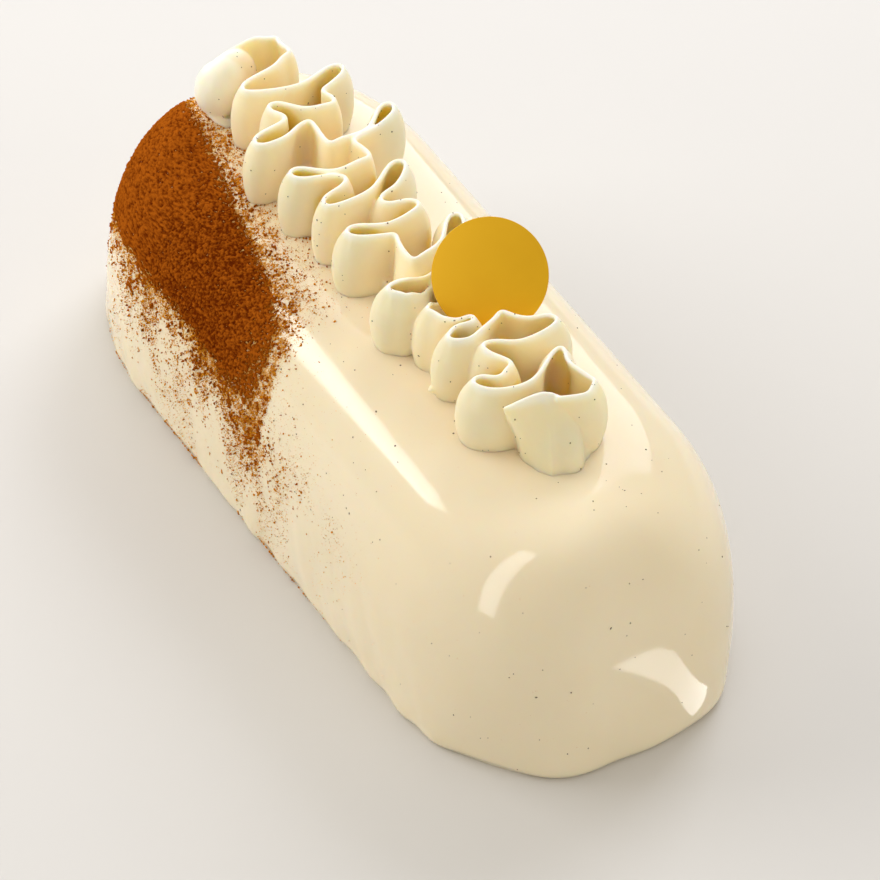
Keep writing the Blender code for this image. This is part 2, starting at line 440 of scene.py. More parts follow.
@dataclass(frozen=True)
class CreamFinish(Finish):
    """Satin whipped cream with a painted highlight on its rims, painted shade in its folds, and a few fine
    seeds.
    """

    name: str = "whipped_vanilla_cream"
    pale: Colour = (0.985, 0.835, 0.61)
    deep: Colour = (0.965, 0.775, 0.50)
    # painted highlight on the rims and on the first petal's open face
    rim: Colour = (0.995, 0.935, 0.80)
    fold: Colour = (1.0, 0.75, 0.20)         # painted shade: golden, as where light comes only through the cream, deep in the folds
    painted_shade_from: float = 0.66
    painted_shade_to: float = 0.92
    seed: Colour = (0.16, 0.10, 0.05)
    roughness: float = 0.36

    def build(self, groups: ShaderGroups) -> bpy.types.Material:
        """Builds the material.

        Args:
            groups: The shared shader groups.

        Returns:
            The material.
        """
        made, board, shader, place = self.start()
        mottle = board.group(groups.mottle, place, Scale=90.0, Detail=3.0)
        seeds = board.group(groups.seeds, place, Scale=190.0, Share=0.06, Size=0.045)
        base = board.blend(mottle.outputs["Value"], self.pale, self.deep)
        # painted shade: the folds are painted golden by how shut in each place is
        fold = board.add("Attribute", attribute_name="fold").outputs["Fac"]
        base = board.blend(board.ramp(fold, self.painted_shade_from, self.painted_shade_to), base, self.fold)
        # painted highlight: the rims and the first petal's open face are painted paler
        crest = board.add("Attribute", attribute_name="crest").outputs["Fac"]
        base = board.blend(board.math("MULTIPLY", crest, 0.8), base, self.rim)
        halo = board.math("MULTIPLY", seeds.outputs["Halo"], 0.18)
        base = board.blend(halo, base, (0.66, 0.52, 0.33))
        base = board.blend(board.math("MULTIPLY", seeds.outputs["Mask"], 0.85), base, self.seed)
        satin = board.group(groups.mottle, place, Scale=700.0, Detail=4.0)
        rough = board.spread(satin.outputs["Value"], self.roughness - 0.07, self.roughness + 0.07)
        bump = board.bump(satin.outputs["Value"], 0.06, 0.0004)
        links = made.node_tree.links
        links.new(base, shader.inputs["Base Color"])
        links.new(rough, shader.inputs["Roughness"])
        links.new(bump, shader.inputs["Normal"])
        shader.inputs["Subsurface Weight"].default_value = 0.85
        shader.inputs["Subsurface Radius"].default_value = (1.0, 0.74, 0.40)
        shader.inputs["Subsurface Scale"].default_value = 0.0042
        return made


@dataclass(frozen=True)
class CocoaFinish(Finish):
    """Dry cocoa powder, with painted shade in the pits between its clumps and painted light on their tops."""

    name: str = "cocoa_powder"
    # The light end is painted on raised powder and the dark end as shade in its pits; loose grains also vary
    # between them.
    light: Colour = (0.40, 0.098, 0.006)
    dark: Colour = (0.120, 0.017, 0.0008)
    roughness: float = 0.9

    def build(self, groups: ShaderGroups) -> bpy.types.Material:
        """Builds the material.

        Args:
            groups: The shared shader groups.

        Returns:
            The material.
        """
        made, board, shader, place = self.start()
        rise = board.add("Attribute", attribute_name="rise").outputs["Fac"]
        powder = board.group(groups.powder, place, Scale=2200.0, Amount=0.6)
        # painted light and shade: higher grain and a higher rise are painted lighter, the pits darker
        fine = board.math("MULTIPLY", board.math("SUBTRACT", powder.outputs["Height"], 0.5), 1.5)
        share = board.ramp(board.math("ADD", rise, fine), 0.12, 0.92)
        base = board.blend(share, self.dark, self.light)
        bump = board.bump(powder.outputs["Height"], 0.8, 0.0005)
        rough = board.spread(powder.outputs["Height"], self.roughness - 0.06, self.roughness + 0.06)
        links = made.node_tree.links
        links.new(base, shader.inputs["Base Color"])
        links.new(rough, shader.inputs["Roughness"])
        links.new(bump, shader.inputs["Normal"])
        shader.inputs["Specular IOR Level"].default_value = 0.0
        return made


@dataclass(frozen=True)
class SeedFinish(Finish):
    """Dark vanilla seeds lying in the glaze."""

    name: str = "vanilla_seed"
    colour: Colour = (0.10, 0.06, 0.03)

    def build(self, groups: ShaderGroups) -> bpy.types.Material:
        """Builds the material.

        Args:
            groups: The shared shader groups.

        Returns:
            The material.
        """
        made, board, shader, place = self.start()
        mottle = board.group(groups.mottle, place, Scale=900.0, Detail=1.0)
        base = board.blend(mottle.outputs["Value"], self.colour, (0.24, 0.16, 0.085))
        made.node_tree.links.new(base, shader.inputs["Base Color"])
        shader.inputs["Roughness"].default_value = 0.3
        return made


@dataclass(frozen=True)
class GoldFinish(Finish):
    """Satin gold card with a very fine grain."""

    name: str = "satin_gold_card"
    gold: Colour = (0.73, 0.395, 0.008)
    worn: Colour = (0.77, 0.435, 0.010)
    roughness: float = 0.42

    def build(self, groups: ShaderGroups) -> bpy.types.Material:
        """Builds the material.

        Args:
            groups: The shared shader groups.

        Returns:
            The material.
        """
        made, board, shader, place = self.start()
        mottle = board.group(groups.mottle, place, Scale=120.0, Detail=2.0)
        grain = board.group(groups.mottle, place, Scale=3600.0, Detail=3.0)
        base = board.blend(mottle.outputs["Value"], self.gold, self.worn)
        rough = board.spread(grain.outputs["Value"], self.roughness - 0.08, self.roughness + 0.08)
        bump = board.bump(grain.outputs["Value"], 0.12, 0.0001)
        links = made.node_tree.links
        links.new(base, shader.inputs["Base Color"])
        links.new(rough, shader.inputs["Roughness"])
        links.new(bump, shader.inputs["Normal"])
        shader.inputs["Metallic"].default_value = 0.2
        shader.inputs["Specular IOR Level"].default_value = 0.2
        return made


@dataclass(frozen=True)
class CardFinish(Finish):
    """The pale cut edge and back of the card."""

    name: str = "card_edge"
    colour: Colour = (0.90, 0.80, 0.52)

    def build(self, groups: ShaderGroups) -> bpy.types.Material:
        """Builds the material.

        Args:
            groups: The shared shader groups.

        Returns:
            The material.
        """
        made, board, shader, place = self.start()
        fibre = board.group(groups.mottle, place, Scale=2400.0, Detail=4.0)
        base = board.blend(fibre.outputs["Value"], self.colour, (0.80, 0.68, 0.38))
        made.node_tree.links.new(base, shader.inputs["Base Color"])
        shader.inputs["Roughness"].default_value = 0.55
        return made


@dataclass(frozen=True)
class FloorFinish(Finish):
    """A plain pale matt floor with the faintest mottle."""

    name: str = "pale_floor"
    colour: Colour = (0.66, 0.645, 0.63)

    def build(self, groups: ShaderGroups) -> bpy.types.Material:
        """Builds the material.

        Args:
            groups: The shared shader groups.

        Returns:
            The material.
        """
        made, board, shader, place = self.start()
        mottle = board.group(groups.mottle, place, Scale=9.0, Detail=3.0)
        base = board.blend(mottle.outputs["Value"], self.colour, (0.68, 0.665, 0.645))
        made.node_tree.links.new(base, shader.inputs["Base Color"])
        shader.inputs["Roughness"].default_value = 0.55
        return made


# The loaf


@dataclass(frozen=True)
class LoafForm:
    """The loaf's own form: an arch in section, with leaning round ends."""

    length: float = 0.240
    width: float = 0.100
    height: float = 0.072
    arch_power: float = 3.6
    end_rise_power: float = 2.6
    end_rise: float = 0.032
    corner_across: float = 0.78
    corner_along: float = 1.03
    base_tuck: float = 0.0015
    base_tuck_height: float = 0.004
    side_share: float = 0.30     # share of the way round that is one straight side
    end_share: float = 0.06      # and one straight end
    ripple: float = 0.00035      # how far the glaze on the lower sides wanders in and out

    def levels(self, count: int) -> np.ndarray:
        """Height shares from the foot to the ridge, evenly spaced along the arch.

        Args:
            count: How many levels there are.

        Returns:
            The share of the loaf's height at each level.
        """
        turn = np.linspace(0.0, math.pi / 2, 4000)
        across = self.width / 2 * np.cos(turn) ** (2 / self.arch_power)
        up = self.height * np.sin(turn) ** (2 / self.arch_power)
        run = np.concatenate([[0.0], np.cumsum(np.hypot(np.diff(across), np.diff(up)))])
        return np.interp(np.linspace(0.0, run[-1], count), run, up) / self.height

    def share_at(self, run: np.ndarray) -> np.ndarray:
        """Height shares at shares of the run up the arch, from the foot to the ridge."""
        return np.interp(run, np.linspace(0, 1, TABLE_STEPS), self.levels(TABLE_STEPS))

    def half_sizes(self, share: np.ndarray) -> tuple[np.ndarray, np.ndarray]:
        """Half width and half length at shares of the height."""
        share = np.clip(share, 0.0, 1.0)
        half_width = self.width / 2 * (1 - share**self.arch_power) ** (1 / self.arch_power)
        lean = 1 - (1 - share**self.end_rise_power) ** (1 / self.end_rise_power)
        half_length = self.length / 2 - self.end_rise * lean
        tuck = self.base_tuck * np.clip(1 - share * self.height / self.base_tuck_height, 0, 1) ** 2
        return np.maximum(half_width - tuck, 0.0), half_length - tuck

    def way_round(self, around: np.ndarray) -> tuple[np.ndarray, np.ndarray, np.ndarray]:
        """Where a share of the way round lies: straight parts across and along, and the corner's turn.

        Args:
            around: Shares from 0 to 1, from the middle of the +X side by the far end.

        Returns:
            The straight part across and along, each from -1 to 1, and the corner's turn.
        """
        corner = (1 - 2 * self.side_share - 2 * self.end_share) / 4
        stops = np.cumsum([
            0, self.side_share / 2, corner, self.end_share, corner, self.side_share,
            corner, self.end_share, corner, self.side_share / 2,
        ])
        quarter = math.pi / 2
        across = np.interp(around, stops, (1, 1, 1, -1, -1, -1, -1, 1, 1, 1))
        along = np.interp(around, stops, (0, 1, 1, 1, 1, -1, -1, -1, -1, 0))
        turn = np.interp(around, stops, np.array((0, 0, 1, 1, 2, 2, 3, 3, 4, 4)) * quarter)
        return across, along, turn

    def surface(self, around: np.ndarray, share: np.ndarray) -> np.ndarray:
        """Points on the smooth form.

        Args:
            around: Shares of the way round.
            share: Shares of the height, one for each point.

        Returns:
            One row of three coordinates for each point.
        """
        half_width, half_length = self.half_sizes(share)
        full = self.width / 2
        corner_x = half_width * self.corner_across
        corner_y = np.minimum(half_length, self.corner_along * full * (0.3 + 0.7 * half_width / full))
        across, along, turn = self.way_round(around)
        x = across * (half_width - corner_x) + corner_x * np.cos(turn)
        y = along * (half_length - corner_y) + corner_y * np.sin(turn)
        return np.stack([x, y, share * self.height], axis=1)

    def normals(self, around: np.ndarray, share: np.ndarray) -> np.ndarray:
        """Outward directions of the smooth form at the same places as surface()."""
        step = 1e-4
        upper, lower = np.clip(share + step, 0, 0.99999), np.clip(share - step, 0, 0.99999)
        up = self.surface(around, upper) - self.surface(around, lower)
        side = self.surface((around + step) % 1.0, share) - self.surface((around - step) % 1.0, share)
        normal = np.cross(side, up)
        length = np.linalg.norm(normal, axis=1, keepdims=True)
        return np.where(length > 0, normal / np.maximum(length, 1e-20), (0.0, 0.0, 1.0))

    def wander(self, points: np.ndarray) -> np.ndarray:
        """How far the poured glaze stands out at each point: flat on top, uneven low on the sides."""
        x, y, z = points.T
        low = smoothstep(0.055, 0.012, z)
        foot = smoothstep(0.012, 0.0, z)
        drapes = (
            np.sin(y * 210 + 1.3 * np.sin(y * 47) + z * 70)
            + 0.7 * np.sin(x * 190 - y * 118 + z * 95)
            + 0.6 * np.sin(y * 433 - z * 160 + 2.0)
        )
        lip = np.sin(y * 310 + 2 * np.sin(y * 83)) + 0.8 * np.sin(x * 260 + y * 57 + 1.0)
        return self.ripple * (low * drapes * 0.6 + foot * lip)


@dataclass(frozen=True)
class CocoaSpray:
    """Where the cocoa lies: a band along the -X shoulder, from the far end to its blunt near end.

    Places on the band are given by the angle round a line through the loaf, 0 degrees at the side
    and 90 degrees on top, and by the place along Y.
    """

    axis_height: float = 0.020
    upper_far: tuple[float, float] = (0.100, 77.0)     # (along, degrees) of the band's upper edge
    upper_near: tuple[float, float] = (0.018, 58.0)
    tip: tuple[float, float] = (0.001, 20.0)
    lower_edge: float = 26.0
    lower_drop: float = 9.0
    lower_drop_from: float = 0.040
    millimetres_a_degree: float = 0.87
    edge_in: float = 8.5          # how far inside its edge the powder is dense, in millimetres
    edge_out: float = 5.5
    thin_ahead: float = 30.0      # how far back from the near end it is thinner, and how thin
    thinnest: float = 0.50
    halo_share: float = 0.48      # how dense the loose powder is at the edge, and how far it reaches
    halo_above: float = 8.5
    halo_below: float = 18.0
    halo_ahead: float = 15.0
    far_end: tuple[float, float] = (0.092, 0.106)       # where along and across it fades on the far end
    far_across: tuple[float, float] = (-0.020, 0.004)

    def angles(self, points: np.ndarray) -> np.ndarray:
        """The angle of each point round the loaf's long line, in degrees."""
        return np.degrees(np.arctan2(points[:, 2] - self.axis_height, -points[:, 0]))

    def upper(self, along: np.ndarray) -> np.ndarray:
        """The upper edge of the band, in degrees, at places along the loaf."""
        slope = (self.upper_far[1] - self.upper_near[1]) / (self.upper_far[0] - self.upper_near[0])
        straight = self.upper_near[1] + slope * (along - self.upper_near[0])
        reach = self.upper_near[0] - self.tip[0]
        into = np.clip((self.upper_near[0] - along) / reach, 0, 1)
        blunt = self.tip[1] + (self.upper_near[1] - self.tip[1]) * np.sqrt(1 - into**2)
        return np.where(along > self.upper_near[0], straight, blunt)

    def lower(self, along: np.ndarray) -> np.ndarray:
        """The lower edge of the band, in degrees, at places along the loaf."""
        fall = np.clip((self.lower_drop_from - along) / self.lower_drop_from, 0, 1)
        return self.lower_edge - self.lower_drop * fall**1.5

    def depths(self, points: np.ndarray) -> tuple[np.ndarray, np.ndarray, np.ndarray]:
        """How deep each point lies inside the upper, lower and near edge, in millimetres."""
        degrees = self.angles(points)
        along = points[:, 1]
        under_upper = (self.upper(along) - degrees) * self.millimetres_a_degree
        over_lower = (degrees - self.lower(along)) * self.millimetres_a_degree
        return under_upper, over_lower, (along - self.tip[0]) * 1000

    def density(self, points: np.ndarray) -> np.ndarray:
        """How much powder lies at each point, from 0 to 1."""
        depths = self.depths(points)
        core = smoothstep(-self.edge_out, self.edge_in, np.minimum.reduce(depths))
        core *= self.thinnest + (1 - self.thinnest) * smoothstep(0.0, self.thin_ahead, depths[2])
        above, below, ahead = (np.clip(-depth, 0, None) for depth in depths)
        past = above / self.halo_above + below / self.halo_below + ahead / self.halo_ahead
        halo = self.halo_share * np.exp(-past)
        faded = smoothstep(*self.far_end, points[:, 1]) * smoothstep(*self.far_across, points[:, 0])
        return np.clip(np.maximum(core, halo) * (1 - faded), 0, 1)


@dataclass
class GlazedLoaf:
    """The loaf with its poured glaze."""

    form: LoafForm
    spray: CocoaSpray
    sides: int = 480
    level_count: int = 130
    name: str = "glazed_loaf"

    def build(self, finish: bpy.types.Material) -> bpy.types.Object:
        """Models the loaf from a round base drawn up level by level, then set to its form.

        Args:
            finish: The glaze.

        Returns:
            The finished piece.
        """
        clear_selection()
        rise = self.form.height / self.level_count
        bpy.ops.mesh.primitive_circle_add(vertices=self.sides, radius=self.form.width / 2, fill_type="NGON")
        loaf = bpy.context.object
        loaf.name = self.name
        bpy.ops.object.mode_set(mode="EDIT")
        bpy.ops.mesh.select_all(action="SELECT")
        for _ in range(self.level_count - 1):
            bpy.ops.mesh.extrude_region_move(TRANSFORM_OT_translate={"value": (0, 0, rise)})
        bpy.ops.object.mode_set(mode="OBJECT")
        drawn = vertices_of(loaf)
        around = (np.arctan2(drawn[:, 1], drawn[:, 0]) / (2 * math.pi)) % 1.0
        level = np.rint(drawn[:, 2] / rise).astype(int)
        share = self.form.levels(self.level_count + 1)[level]
        points = self.form.surface(around, share)
        points += self.form.normals(around, share) * self.form.wander(points)[:, None]
        points[:, 2] = np.clip(points[:, 2], 0.0, self.form.height)
        points[level == 0, 2] = 0.0
        settle(loaf, points)
        face_outward()
        bpy.ops.object.shade_smooth_by_angle(angle=math.radians(50))
        set_attribute(loaf, "cocoa", self.spray.density(vertices_of(loaf)))
        loaf.data.materials.append(finish)
        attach(loaf, ROOT_BODY)
        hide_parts(Node.LOG.value)
        return loaf


@dataclass
class CocoaCoat:
    """The dense cocoa: a rough crust of clumps that breaks up towards its edges."""

    form: LoafForm
    spray: CocoaSpray
    columns: int = 400
    rows: int = 244
    from_around: float = 0.215
    to_around: float = 0.545
    from_share: float = 0.30
    to_share: float = 0.9995
    thickness: float = 0.00035
    clump_height: float = 0.00026
    clump_size: float = 0.0010
    grain_height: float = 0.00050
    grain_size: float = 0.00058
    sunk: float = 0.0006
    painted_shade_along: float = 0.042    # where along the loaf the cocoa is painted darkest, as shade on the middle of the shoulder
    painted_shade_width: float = 0.030
    name: str = "cocoa_coat"

    def build(self, finish: bpy.types.Material) -> bpy.types.Object:
        """Lays a fine grid over the shoulder and raises the powder on it.

        Args:
            finish: The cocoa.

        Returns:
            The finished piece.
        """
        clear_selection()
        bpy.ops.mesh.primitive_grid_add(x_subdivisions=self.columns, y_subdivisions=self.rows, size=1.0)
        coat = bpy.context.object
        coat.name = self.name
        flat = vertices_of(coat) + 0.5
        around = self.from_around + (self.to_around - self.from_around) * flat[:, 0]
        runs = np.linspace(0, 1, TABLE_STEPS)
        first, last = np.interp((self.from_share, self.to_share), self.form.levels(TABLE_STEPS), runs)
        share = self.form.share_at(first + (last - first) * flat[:, 1])
        points = self.form.surface(around, share)
        normals = self.form.normals(around, share)
        density = self.spray.density(points)
        clump = self._noise(points, self.clump_size)
        grain = self._noise(points + 3.1, self.grain_size)
        drift = self._noise(points + 7.7, self.clump_size * 4.5)
        ragged = (1.12 - 0.64 * density) * (0.44 * clump + 0.26 * drift + 0.42 * grain)
        filled = smoothstep(0.62, 0.78, 1.16 * density + 1.15 * ragged)
        relief = self.clump_height * clump + self.grain_height * grain
        height = filled * (self.thickness + relief) - self.sunk * (1 - filled)
        settle(coat, points + normals * height[:, None])
        # painted light and shade: raised clumps are painted lighter and the pits between them darker; the
        # drift varies the colour at random
        reach = self.clump_height + self.grain_height
        # painted shade: the cocoa is painted darker round the middle of the shoulder
        middle = np.exp(-(((points[:, 1] - self.painted_shade_along) / self.painted_shade_width) ** 2))
        set_attribute(coat, "rise", np.clip(0.63 + 0.9 * relief / reach + 0.08 * drift - 0.23 * middle, 0, 1))
        face_outward()
        bpy.ops.object.shade_smooth()
        coat.data.materials.append(finish)
        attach(coat, ROOT_BODY)
        return coat

    def _noise(self, points: np.ndarray, size: float) -> np.ndarray:
        """Smooth noise between about -1 and 1 with features of one size."""
        return np.array([noise.noise(Vector(point)) for point in points / size])


@dataclass
class Sprinkle:
    """Many small grains of one kind, scattered on a surface, as one piece."""

    name: str
    seed: int
    smallest: float
    largest: float
    flatness: float = 0.7
    sunk: float = 0.35           # how far each grain's middle stands out, as a share of its size
    plain: bool = False          # four faces a grain in place of twenty

    def _grain(self) -> tuple[np.ndarray, np.ndarray]:
        """One grain of radius 1: its points and its faces."""
        clear_selection()
        if self.plain:
            bpy.ops.mesh.primitive_cone_add(vertices=3, radius1=1.15, depth=1.6)
        else:
            bpy.ops.mesh.primitive_ico_sphere_add(subdivisions=1, radius=1.0)
        model = bpy.context.object
        points = vertices_of(model)
        faces = np.array([list(face.vertices) for face in model.data.polygons])
        bpy.data.objects.remove(model, do_unlink=True)
        return points, faces

    def build(self, centres: np.ndarray, normals: np.ndarray, finish: bpy.types.Material,
              tone: np.ndarray | float = 1.0) -> bpy.types.Object:
        """Copies one grain to every place and joins them.

        Args:
            centres: One row of three coordinates for each grain.
            normals: The surface's outward direction at each grain.
            finish: What the grains are made of.
            tone: How light each grain is, from 0 to 1.

        Returns:
            The finished piece.
        """
        shape, corners = self._grain()
        draw = np.random.default_rng(self.seed)
        count = len(centres)
        sizes = self.smallest + (self.largest - self.smallest) * draw.random(count) ** 2.2
        side = np.cross(normals, draw.normal(size=(count, 3)))
        side /= np.linalg.norm(side, axis=1, keepdims=True)
        third = np.cross(normals, side)
        stretch = np.stack([
            sizes * draw.uniform(0.8, 1.35, count), sizes * draw.uniform(0.7, 1.05, count),
            sizes * self.flatness * draw.uniform(0.8, 1.2, count),
        ], axis=1)
        local = shape[None] * draw.uniform(0.82, 1.18, (count, len(shape), 1)) * stretch[:, None, :]
        lift = local[..., 2:3] + self.sunk * self.flatness * sizes[:, None, None]
        world = (
            centres[:, None, :] + local[..., 0:1] * side[:, None, :] + local[..., 1:2] * third[:, None, :]
            + lift * normals[:, None, :]
        )
        world[..., 2] = np.maximum(world[..., 2], 0.0)
        faces = corners[None] + (np.arange(count) * len(shape))[:, None, None]
        piece = mesh_piece(self.name, world.reshape(-1, 3), faces.reshape(-1, corners.shape[1]))
        set_attribute(piece, "rise", np.repeat(draw.uniform(0.35, 1.0, count) * tone, len(shape)))
        piece.data.shade_smooth()
        piece.data.materials.append(finish)
        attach(piece, ROOT_BODY)
        return piece


@dataclass
class LooseCocoa:
    """The loose cocoa round the dense coat, thinning out down the side and towards the cream."""

    form: LoafForm
    spray: CocoaSpray
    sprinkle: Sprinkle
    grains: int
    seed: int
    clump_size: float = 0.0026
    clumping: float = 1.5        # how strongly the grains gather
    evenness: float = 1.7        # how fast the grains thin out where little powder lies
    thick_from: float = 0.62     # and where the coat takes their place
    tries: int = 600000

    def build(self, finish: bpy.types.Material) -> bpy.types.Object:
        """Draws places by the spray's density, then scatters the grains there.

        Args:
            finish: The cocoa.

        Returns:
            The finished piece.
        """
        draw = np.random.default_rng(self.seed)
        around = draw.uniform(0.20, 0.70, self.tries)
        share = self.form.share_at(draw.random(self.tries))
        points = self.form.surface(around, share)
        density = self.spray.density(points)
        foot = 0.09 * smoothstep(0.005, 0.0005, points[:, 2]) * smoothstep(-0.05, 0.0, points[:, 1])
        foot *= points[:, 0] < -0.02
        chance = density**self.evenness * smoothstep(self.thick_from + 0.26, self.thick_from, density) + foot
        likely = draw.random(self.tries) < np.clip(chance * 2.2, 0, 1)
        around, share, points, chance = around[likely], share[likely], points[likely], chance[likely]
        cells = np.array([noise.noise(Vector(point / self.clump_size)) for point in points])
        gathered = np.clip(0.45 + self.clumping * cells, 0.03, 1)
        kept = np.flatnonzero(draw.random(len(points)) < gathered)[: self.grains]
        normals = self.form.normals(around[kept], share[kept])
        tone = smoothstep(0.74, 0.46, self.spray.density(points[kept]))
        return self.sprinkle.build(points[kept], normals, finish, tone)


@dataclass
class VanillaSeeds:
    """The larger vanilla seeds, which lie in the glaze and in the cream."""

    form: LoafForm
    spray: CocoaSpray
    in_glaze: int = 380
    in_cream: int = 460
    seed: int = 5
    name: str = "vanilla_seeds"

    def build(self, cream: bpy.types.Object, finish: bpy.types.Material) -> bpy.types.Object:
        """Scatters the seeds evenly over the loaf outside the cocoa, and over the cream.

        Args:
            cream: The piped cream.
            finish: The seeds.

        Returns:
            The finished piece.
        """
        draw = np.random.default_rng(self.seed)
        around = draw.random(self.in_glaze)
        share = self.form.share_at(draw.random(self.in_glaze))
        centres = self.form.surface(around, share)
        normals = self.form.normals(around, share)
        bare = self.spray.density(centres) < 0.3
        drawn = np.sort(draw.choice(len(cream.data.polygons), self.in_cream, replace=False))
        faces = [cream.data.polygons[int(i)] for i in drawn]
        faces = [face for face in faces if face.center.z > self.form.height]
        centres = np.vstack([centres[bare], [tuple(face.center) for face in faces]])
        normals = np.vstack([normals[bare], [tuple(face.normal) for face in faces]])
        return Sprinkle(self.name, self.seed + 1, 0.00015, 0.00032, 0.6, 0.1).build(centres, normals, finish)


# The cream


@dataclass
class CreamRuffle:
    """The piped ribbon of cream, folded to and fro along the loaf's ridge.

    The turns and petals are in millimetres across and along. Near the tag they differ from the
    solid's, so that the rim goes where it is seen without piercing the card.
    """

    loaf_top: float = 0.072
    rim_height: float = 0.0205
    rim_half_thickness: float = 0.00066
    end_half_thickness: float = 0.9      # as a share, where the ribbon thins out at its ends
    end_taper: float = 0.002
    lobe_radius: float = 0.0020
    lobe_swell: float = 0.0040
    far_swell: float = 0.0028
    foot_swell: float = 0.0006
    far_foot_swell: float = -0.0004      # less than nothing, as the foot is drawn in
    fullness: float = 3.8                # how soon a bend swells the wall fully
    swell_grows: tuple[float, float] = (0.030, -0.006)     # where the swell grows, along the loaf
    swell_reach: float = 0.0066
    traverse_sag: float = 0.11
    path_step: float = 0.0006
    path_softness: float = 0.0010
    foot_depth: float = 0.004
    # how far each vertex looks for cream round it, for the painted fold shade
    painted_shade_reach: float = 0.009
    grain: float = 0.00042
    triangles: int = 190000
    bed_height: float = 0.0045
    bed_half_width: float = 0.0080
    bed_half_length: float = 0.0735
    bed_centre: float = 0.0075
    name: str = "piped_cream"
    turns: tuple = (
        (8.5, 91), (9, 83.5), (2, 80.5), (-11, 76), (18.5, 71),
        (8, 65), (9, 59), (-8, 67), (-6, 60), (-19, 55), (-1, 56), (-1, 45),
        (22.5, 50.5), (5, 43), (6, 35), (-17, 40), (-4, 31), (-15, 24), (13, 29),
        (-1, 18), (8, 12), (-15.5, 12), (-4, 5), (-5, -6), (15, 3.5), (8, -8), (-2.6, -10.8),
        (-17, -12), (-14, -17), (-9.5, -16.2), (-3.1, -12.8), (6, -12), (10, -16), (-1, -17), (-7.8, -20.2),
        (-12, -24), (-10, -29.2), (-6.4, -32.3), (-2.3, -33.6), (-8.3, -33.9), (-13, -37),
        (-8, -39.8), (-3.2, -38.3), (5, -34.8), (9.3, -40.6), (16.6, -44.8), (3.5, -47.3),
        (-6.3, -43.4), (-2.9, -53.4), (-8.6, -56.2), (-15.8, -53.8), (-11, -60.3), (-2.2, -61.6),
        (8.6, -55.2), (11.8, -54.6), (10.2, -60), (11.4, -66), (12.8, -70), (8.6, -73), (0, -70.5),
    )
    # Where the rim dips to let the tag in: across, along, how deep and how wide, in millimetres.
    tag_dip: tuple[float, float, float, float] = (-3.0, -17.0, 7.5, 6.5)
    # Rounded bodies of cream, in millimetres: across, along, up and their radii.
    petal_bulge: tuple = (
        (-10.2, 90.4, 9.2, 7.2, 6.3, 9.2),
        (-7.8, 90.3, 10.0, 7.2, 5.7, 9.6),
        (-5.4, 91.0, 10.6, 7.2, 5.0, 9.6),
    )
    pocket_fill: tuple = ((4.5, -64.5, 3.0, 7.0, 6.0, 7.5), (5.0, -42.5, 3.0, 7.5, 4.5, 7.5))
    beads: tuple = (
        (-17.2, -36.3, 2.6, 1.0), (-16.4, -37.6, 2.0, 0.8), (8.2, -76.2, 4.6, 0.9), (-16.6, -17.4, 1.0, 0.7),
    )
    # The loose first petal: its rim across, along and up, its foot across and along, its belly.
    first_petal: tuple = (
        (-9, 85, 1.5, -6.5, 85.5, 0), (-13, 86, 2.5, -7, 86, 0), (-15.5, 88.5, 4.5, -7, 86, 0),
        (-16, 91, 8, -6, 86, 0), (-13.5, 93.5, 13, -4.5, 86, 0), (-9.5, 94.3, 16.8, -3, 85.5, 0),
        (-3, 94, 18.9, -0.5, 87, 0), (3.5, 93.6, 20.3, 3.5, 90.5, 0),
    )
    # The loose last petal, in the same way.
    last_petal: tuple = (
        (-13.6, -65.9, 19.3, -7.5, -64.5, 0.8), (-11.4, -66.8, 20.3, -7.8, -68.3, 2.4),
        (-7, -67.1, 20.9, -7.1, -72.6, 2.2), (-1.6, -67.9, 20.9, -4.4, -75.8, 3.5),
        (1.8, -70.5, 19.5, -1.2, -77.2, 2.0), (4.1, -72.5, 16, 1.9, -78.2, 2.1),
        (6.4, -73.2, 11.5, 5.6, -77.3, 0.6), (7.6, -75.2, 5, 8, -77, 0.5),
    )
    # The wall from foot to rim: height share, swell share, lean share, half thickness.
    wall: tuple = (
        (0.00, 0.00, 1.00, 0.0017), (0.16, 0.40, 0.98, 0.0017), (0.30, 0.76, 0.90, 0.0015),
        (0.45, 0.96, 0.76, 0.0013), (0.60, 1.00, 0.58, 0.0011), (0.73, 0.88, 0.40, 0.0010),
        (0.84, 0.62, 0.24, 0.0009), (0.93, 0.30, 0.10, 0.00075),
    )
    rim_turns: tuple = (0, 36, 72, 108, 144, 180)

    def build(self, finish: bpy.types.Material) -> bpy.types.Object:
        """Sweeps the ribbon and its petals, fuses them on a bed of cream and evens the surface.

        Args:
            finish: The cream.

        Returns:
            The finished piece.
        """
        ribbon = self._loft("ribbon", self._ribbon_sections())
        petal = self._loft("petal", self._last_petal_sections())
        bed = self._bed()
        bodies = (*self.petal_bulge, *self.pocket_fill, *self.beads)
        rounded = [self._rounded_body(*np.array(body) / 1000) for body in bodies]
        clear_selection()
        for part in (petal, bed, *rounded, ribbon):
            part.select_set(True)
        bpy.context.view_layer.objects.active = ribbon
        bpy.ops.object.join()
        ribbon.name = self.name
        fuse = ribbon.modifiers.new("fuse", "REMESH")
        fuse.mode = "VOXEL"
        fuse.voxel_size = self.grain
        relax = ribbon.modifiers.new("relax", "SMOOTH")
        relax.factor = 0.5
        relax.iterations = 6
        apply_all(ribbon)
        faces = sum(len(face.vertices) - 2 for face in ribbon.data.polygons)
        thin = ribbon.modifiers.new("thin", "DECIMATE")
        thin.ratio = min(1.0, self.triangles / faces)
        apply_all(ribbon)
        bpy.ops.object.shade_smooth()
        x, y, z = vertices_of(ribbon).T
        # painted light: the first petal's open face is painted pale and kept out of the painted fold shade
        painted_lit_petal = smoothstep(0.082, 0.085, y) * smoothstep(-0.003, -0.008, x)
